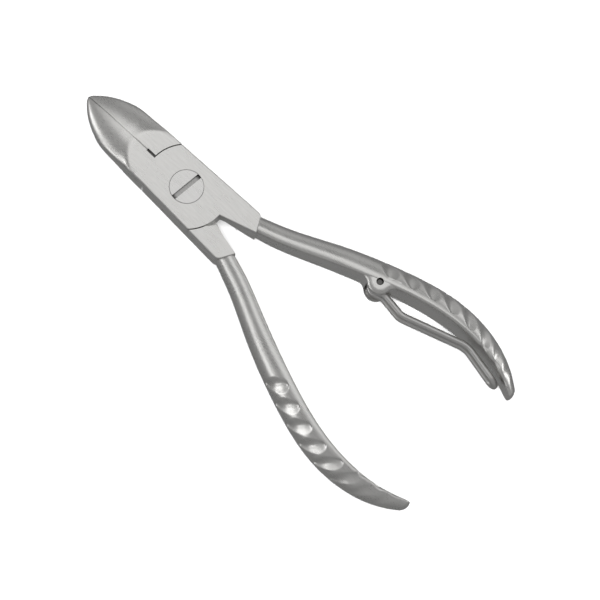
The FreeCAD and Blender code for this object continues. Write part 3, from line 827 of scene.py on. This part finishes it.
def satin_steel(name, tone, gloss, scratch_depth, scratch_turn=0.0, cloud=0.12):
    """Satin steel: tone is its grey, gloss its roughness, scratches run along a turn."""
    material = bpy.data.materials.new(name)
    material.use_nodes = True
    tree = material.node_tree
    shader = tree.nodes["Principled BSDF"]
    shader.inputs["Metallic"].default_value = 1.0
    place_on = tree.nodes.new("ShaderNodeTexCoord").outputs["Object"]
    on_flat = tree.nodes.new("ShaderNodeAttribute")
    on_flat.attribute_name = "ground_flat"
    long_way = stretched_noise(tree, place_on, (0.06, 1, 1), LONG_GRAIN, scratch_turn)
    slant_way = stretched_noise(tree, place_on, (0.12, 1, 1), SLANT_GRAIN, SCRATCH_ACROSS)
    scratches = blended(tree, on_flat.outputs["Fac"], long_way, slant_way)
    clouds = stretched_noise(tree, place_on, (0.5, 1, 1), CLOUD_GRAIN, scratch_turn, detail=5.0)
    ramp = tree.nodes.new("ShaderNodeValToRGB")
    for element, spread in zip(ramp.color_ramp.elements, (1 - cloud, 1 + cloud)):
        element.color = (tone[0] * spread, tone[1] * spread, tone[2] * spread, 1)
    ramp.color_ramp.elements[0].position = 0.3
    ramp.color_ramp.elements[1].position = 0.7
    tree.links.new(blended(tree, 0.55, clouds, scratches), ramp.inputs["Fac"])
    tree.links.new(cut_dull_and_painted_shade(tree, ramp.outputs["Color"], place_on), shader.inputs["Base Color"])
    rough = ranged(tree, blended(tree, 0.5, clouds, scratches), gloss - 0.05, gloss + 0.06)
    tree.links.new(rough, shader.inputs["Roughness"])
    bump = tree.nodes.new("ShaderNodeBump")
    bump.inputs["Strength"].default_value = 0.35
    bump.inputs["Distance"].default_value = scratch_depth
    tree.links.new(scratches, bump.inputs["Height"])
    tree.links.new(bump.outputs["Normal"], shader.inputs["Normal"])
    return material


forged_steel = satin_steel("forged_steel", (0.66, 0.655, 0.64), 0.29, 0.000008)
screw_steel = satin_steel("screw_steel", (0.66, 0.655, 0.645), 0.28, 0.000010, SCRATCH_ACROSS)
# The pin's near-black tone is painted shade of the hole it sits in, not the steel's own colour.
pin_steel = satin_steel("pin_steel", (0.13, 0.128, 0.125), 0.30, 0.000006)
spring_wire_steel = satin_steel("spring_wire_steel", (0.60, 0.595, 0.585), 0.34, 0.000006)
print("finishes:", [m.name for m in (forged_steel, screw_steel, pin_steel, spring_wire_steel)])

# %% [markdown]
# A finished piece gets smooth shading that breaks at real edges, its material, its size
# in metres, the body that it rides on and the frame's solid that it stands for.
# %% Finish a piece
SHARP_ANGLE = 32
FLAT_NORMAL = 0.985
WELD = 0.002


def finished(piece, name, material, body, node):
    """Hand a piece over: shaded, scaled to metres, riding, and standing for its node."""
    piece.name = name
    piece.data.name = name
    mesh = piece.data
    for measure in ("along", "around", "bevel_weight_edge"):
        if measure in mesh.attributes:
            mesh.attributes.remove(mesh.attributes[measure])
    work = bmesh.new()
    work.from_mesh(mesh)
    bmesh.ops.remove_doubles(work, verts=work.verts, dist=WELD)
    bmesh.ops.dissolve_degenerate(work, edges=work.edges, dist=WELD)
    for face in work.faces:
        face.smooth = True
    for edge in work.edges:
        edge.smooth = edge.calc_face_angle(0.0) < math.radians(SHARP_ANGLE)
    open_edges = sum(not edge.is_manifold for edge in work.edges)
    work.to_mesh(mesh)
    work.free()
    flat_share = [float(abs(face.normal.z) > FLAT_NORMAL and face.center.x > -STEP_REACH - STEP_SLANT)
                  for face in mesh.polygons]
    layer = mesh.attributes.new("ground_flat", "FLOAT", "FACE")
    layer.data.foreach_set("value", np.array(flat_share, np.float32))
    weighted = piece.modifiers.new("even_shading", "WEIGHTED_NORMAL")
    weighted.keep_sharp = True
    settled(piece)
    piece.data.transform(Matrix.Scale(MM, 4))
    piece.data.materials.clear()
    piece.data.materials.append(material)
    piece.data.update()
    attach(piece, body)
    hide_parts(node)
    print(f"{name}: {len(piece.data.polygons)} faces, {open_edges} open edges")
    return piece


# %% Make both levers
front = forging("front_lever_forging", 0.0, [lug("lug")], [screw_room(), *lug_cutters()], forged_steel)
finished(front, "front_lever_forging", forged_steel, "front", "front_lever")
back = forging("back_lever_forging", THICKNESS, [], [thread_room()], forged_steel)
back.data.transform(Matrix.Translation((0, 0, THICKNESS)) @ Matrix.Rotation(math.pi, 4, "X"))
finished(back, "back_lever_forging", forged_steel, "back", "back_lever")

# %% [markdown]
# ## The pivot screw
# A turned screw, its head flush with the flat. The rim is barely broken, which draws
# the fine ring round it, and a driver slot is sawn nearly across the whole head.
# %% Make the screw
SLOT_WIDTH = 1.25
SLOT_DEPTH = 0.8
SLOT_TURN = math.radians(84.6)
BELOW_FACE = 0.2
INSIDE_RIM = 0.01


def saw_slot():
    """The saw's cut across the head."""
    reach, half = HEAD_RADIUS + OVERRUN, SLOT_WIDTH / 2
    turn = Matrix.Rotation(SLOT_TURN, 2)
    square = ((-reach, -half), (reach, -half), (reach, half), (-reach, half))
    corners = [tuple(turn @ Vector(corner)) for corner in square]
    return prism("saw_slot", corners, THICKNESS - SLOT_DEPTH, THICKNESS + OVERRUN)


under_head = THICKNESS - SCREW_HEAD_HEIGHT + RUNNING_GAP
shoulder_end = MIDDLE - LAP_GAP / 2
screw_profile = [
    (THREAD_RADIUS - RIM_BREAK, 0), (THREAD_RADIUS, RIM_BREAK), (THREAD_RADIUS, shoulder_end),
    (SCREW_SHOULDER, shoulder_end), (SCREW_SHOULDER, under_head), (HEAD_RADIUS, under_head),
    (HEAD_RADIUS, THICKNESS - RIM_BREAK), (HEAD_RADIUS - 0.3 * RIM_BREAK, THICKNESS - 0.3 * RIM_BREAK),
    (HEAD_RADIUS - RIM_BREAK, THICKNESS),
]
screw = carve(turned("pivot_screw_turned", screw_profile), saw_slot())
# Marks the slot's faces, which the finish paints darker: a duller sawn face and painted shade.
in_slot = [float(under_head < face.center.z < THICKNESS - BELOW_FACE
                 and face.center.xy.length < HEAD_RADIUS - INSIDE_RIM) for face in screw.data.polygons]
cut_face = screw.data.attributes.new("cut_face", "FLOAT", "FACE")
cut_face.data.foreach_set("value", np.array(in_slot, np.float32))
finished(screw, "pivot_screw_turned", screw_steel, "back", "pivot_screw")

# %% [markdown]
# ## The spring's pin
# A short straight pin, its ends rounded over and set below the lug's sides. Its steel is painted near black,
# as painted shade of the recessed hole it sits in.
# %% Make the pin
pin_low, pin_high = box_mm("spring_pin")
pin_radius = (pin_high.x - pin_low.x) / 2
half_pin = (pin_high.z - pin_low.z) / 2
PIN_DOME = 0.35
dome_turns = [math.radians(degrees) for degrees in (0, 22, 45, 67, 90)]
quarter = [(PIN_DOME * math.sin(turn), PIN_DOME * math.cos(turn)) for turn in dome_turns]
upper_end = [(pin_radius - PIN_DOME + x, half_pin - PIN_DOME + z) for x, z in quarter][::-1]
lower_end = [(radius, -z) for radius, z in reversed(upper_end)]
pin = turned("spring_pin_ground", lower_end + upper_end, (PIN.x, PIN.y, MIDDLE), 40)
finished(pin, "spring_pin_ground", pin_steel, "front", "spring_pin")

# %% [markdown]
# ## The spring arm
# One wire makes the whole hairpin: an eye round the pin, out along the handle with two
# rounded bends, a turn round the far end, and back the same way on the lower level.
# The wire leaves the eye on its side, and bends in slowly enough that it never comes
# nearer to the pin than the eye does. Its centre line is a row of edges; a Geometry
# Nodes tree sweeps a round section along it.
# %% Route the wire
KNEE = Vector((-61.48, -14.63))
HEEL = Vector((-78.97, -20.84))
FAR_END = Vector((-88.65, -18.89))
KNEE_RADIUS = 5.0
HEEL_RADIUS = 7.0
WIRE_STEP = 0.25
EYE_SWEEP = math.radians(265)
LINE_OFFSET = 0.6
EYE_LEAD = 3.75
LEAD_STEPS = 11
FAR_TURN_STEPS = 24
WIRE_FACES_ROUND = 28


def rounded_corner(before, corner, after, radius):
    """The arc that rounds a corner, as points."""
    start_way = (before - corner).normalized()
    end_way = (after - corner).normalized()
    half_angle = start_way.angle(end_way) / 2
    run = radius / math.tan(half_angle)
    heart = corner + (start_way + end_way).normalized() * (radius / math.sin(half_angle))
    first = corner + start_way * run - heart
    sweep = first.angle_signed(corner + end_way * run - heart)
    steps = max(int(abs(sweep) * radius / WIRE_STEP), 4)
    return [heart + Matrix.Rotation(-sweep * k / steps, 2) @ first for k in range(steps + 1)]


def eye_and_lead():
    """Points of the eye, and the short bend that brings it onto the first straight run."""
    centre = PIN.xy
    away = KNEE - centre
    lean = math.asin(LINE_OFFSET / away.length)
    way = Matrix.Rotation(lean, 2) @ away.normalized()
    side = Vector((way.y, -way.x))
    points = []
    steps = int(EYE_SWEEP * EYE_RADIUS / WIRE_STEP)
    for step in range(steps):
        turn = EYE_SWEEP * (1 - step / steps)
        points.append(centre + EYE_RADIUS * (math.cos(turn) * side - math.sin(turn) * way))
    for step in range(LEAD_STEPS + 1):
        share = step / LEAD_STEPS
        ease = share * share * (3 - 2 * share)
        offset = EYE_RADIUS + (LINE_OFFSET - EYE_RADIUS) * ease
        points.append(centre + side * offset + way * (EYE_LEAD * share))
    return points


def wire_line():
    """The hairpin's whole centre line, in millimetres."""
    level = eye_and_lead()
    level += rounded_corner(level[-1], KNEE, HEEL, KNEE_RADIUS)
    level += rounded_corner(KNEE, HEEL, FAR_END, HEEL_RADIUS)
    upper = [Vector((p.x, p.y, MIDDLE + WIRE_SPACING / 2)) for p in level]
    lower = [Vector((p.x, p.y, MIDDLE - WIRE_SPACING / 2)) for p in level]
    way = (FAR_END - HEEL).normalized()
    turn = []
    for step in range(FAR_TURN_STEPS + 1):
        angle = math.pi * step / FAR_TURN_STEPS
        out = FAR_END + way * (WIRE_SPACING / 2 * math.sin(angle))
        turn.append(Vector((out.x, out.y, MIDDLE + WIRE_SPACING / 2 * math.cos(angle))))
    return upper + turn + lower[::-1]


wire_points = wire_line()
wire_length = sum((b - a).length for a, b in zip(wire_points, wire_points[1:]))
print(f"wire: {wire_length:.1f} mm of wire in one hairpin")

# %% Sweep the wire
wire_tree, wire_entry = new_tree("round_wire", ("Radius",))
to_curve = wire_tree.nodes.new("GeometryNodeMeshToCurve")
section = wire_tree.nodes.new("GeometryNodeCurvePrimitiveCircle")
sweep = wire_tree.nodes.new("GeometryNodeCurveToMesh")
section.inputs["Resolution"].default_value = WIRE_FACES_ROUND
sweep.inputs["Fill Caps"].default_value = True
wire_tree.links.new(wire_entry.outputs["Geometry"], to_curve.inputs["Mesh"])
wire_tree.links.new(to_curve.outputs["Curve"], sweep.inputs["Curve"])
wire_tree.links.new(wire_entry.outputs["Radius"], section.inputs["Radius"])
wire_tree.links.new(section.outputs["Curve"], sweep.inputs["Profile Curve"])
close_tree(wire_tree, wire_entry, sweep.outputs["Mesh"])

wire_mesh = bpy.data.meshes.new("wire")
wire_mesh.from_pydata(wire_points, [(i, i + 1) for i in range(len(wire_points) - 1)], [])
wire = bpy.data.objects.new("wire", wire_mesh)
bpy.context.scene.collection.objects.link(wire)
run_tree(wire, wire_tree, {"Radius": WIRE_RADIUS, "Material": spring_wire_steel})
turn_outwards(wire)
finished(wire, "spring_arm_wire", spring_wire_steel, "spring", "spring_arm")

# %% [markdown]
# ## The set
# A pale floor under the tool, seen by the camera but kept out of the steel's reflections,
# so that the steel's sides go dark, as they do in a room with dark walls.
# %% Lay the floor
FLOOR_HALF = 1.6
BELOW_THE_TOOL = 0.0002


def pale_floor():
    """The floor, just under the handles."""
    low = cad_box[0].z - BELOW_THE_TOOL
    corners = [(x * FLOOR_HALF, y * FLOOR_HALF, low) for x, y in ((-1, -1), (1, -1), (1, 1), (-1, 1))]
    piece = new_piece("floor", corners, [(0, 1, 2, 3)])
    material = bpy.data.materials.new("pale_floor")
    material.use_nodes = True
    shader = material.node_tree.nodes["Principled BSDF"]
    shader.inputs["Base Color"].default_value = (0.93, 0.93, 0.93, 1)
    shader.inputs["Roughness"].default_value = 0.9
    shader.inputs["Specular IOR Level"].default_value = 0.0
    piece.data.materials.append(material)
    piece.visible_glossy = False
    print(f"floor {low / MM:.2f} mm high, {2 * FLOOR_HALF:.1f} m across")


pale_floor()

# %% [markdown]
# ## The camera
# It looks almost straight down on the closed tool, a little from the back handle's side,
# with the jaws to the upper left. It stands far off behind a long lens, so that the
# outlines are true.
# %% Place the camera
LOOK_SLOPES = (-0.085, 0.217)
CAMERA_ROLL = -0.809
CAMERA_DISTANCE = 0.7
LENS = 166.1
AIM = Vector((-40.34, 0.10, 4.0)) * MM

toward = Vector((*LOOK_SLOPES, 1)).normalized()
up = Vector((math.cos(CAMERA_ROLL), math.sin(CAMERA_ROLL), 0))
up = (up - toward * up.dot(toward)).normalized()
right = up.cross(toward)
camera_data = bpy.data.cameras.new("camera")
camera_data.lens = LENS
camera_data.sensor_width = 36
camera_data.clip_start = 0.05
camera = bpy.data.objects.new("camera", camera_data)
bpy.context.scene.collection.objects.link(camera)
axes = Matrix((right, up, toward)).transposed().to_4x4()
camera.matrix_world = Matrix.Translation(AIM + toward * CAMERA_DISTANCE) @ axes
bpy.context.scene.camera = camera
print("camera at", [round(c, 3) for c in camera.location])

# %% [markdown]
# ## The light
# Soft boxes are placed by where they stand as seen from the camera: so far to the right,
# so far up, so far towards it. A dim even surround fills in what they leave.
# %% Hang the lights
BOX_DISTANCE = 0.9


def soft_box(name, place, size, brightness, floor_only=False):
    """A square area light out along a camera-side direction, turned to the tool."""
    data = bpy.data.lights.new(name, "AREA")
    data.shape = "SQUARE"
    data.size = size
    data.energy = brightness * math.pi * size * size
    light = bpy.data.objects.new(name, data)
    way = (right * place[0] + up * place[1] + toward * place[2]).normalized()
    light.location = AIM + way * BOX_DISTANCE
    light.rotation_mode = "QUATERNION"
    light.rotation_quaternion = way.to_track_quat("Z", "Y")
    light.visible_glossy = not floor_only
    bpy.context.scene.collection.objects.link(light)
    return light


soft_box("overhead_box", (0.17, 0.41, 0.90), 0.50, 0.62)
soft_box("tip_box", (-0.12, 0.62, 0.77), 0.28, 0.80)
soft_box("shank_box", (-0.69, 0.07, 0.72), 0.14, 0.9)
soft_box("scoop_box", (-0.87, 0.24, 0.43), 0.32, 1.9)
soft_box("lower_scoop_box", (-0.84, -0.20, 0.50), 0.32, 1.3)
soft_box("facet_box", (0.68, 0.62, 0.34), 0.36, 0.75)
soft_box("far_box", (0.42, 0.90, -0.02), 0.60, 0.17)
soft_box("right_box", (0.94, 0.32, 0.10), 0.30, 2.2)
soft_box("floor_wash", (0.0, 0.0, 1.0), 0.5, 16.0, floor_only=True)


def surround(low, high):
    """An even surround that goes from a dim underside to a lighter upper side."""
    world = bpy.data.worlds.new("surround")
    bpy.context.scene.world = world
    world.use_nodes = True
    tree = world.node_tree
    way = tree.nodes.new("ShaderNodeTexCoord").outputs["Generated"]
    parts = tree.nodes.new("ShaderNodeSeparateXYZ")
    tree.links.new(way, parts.inputs["Vector"])
    strength = ranged(tree, parts.outputs["Z"], low, high, -0.6, 0.5)
    tree.links.new(strength, tree.nodes["Background"].inputs["Strength"])
    tree.nodes["Background"].inputs["Color"].default_value = (1, 1, 1, 1)


surround(0.24, 0.37)
bpy.context.scene.view_settings.view_transform = "Standard"
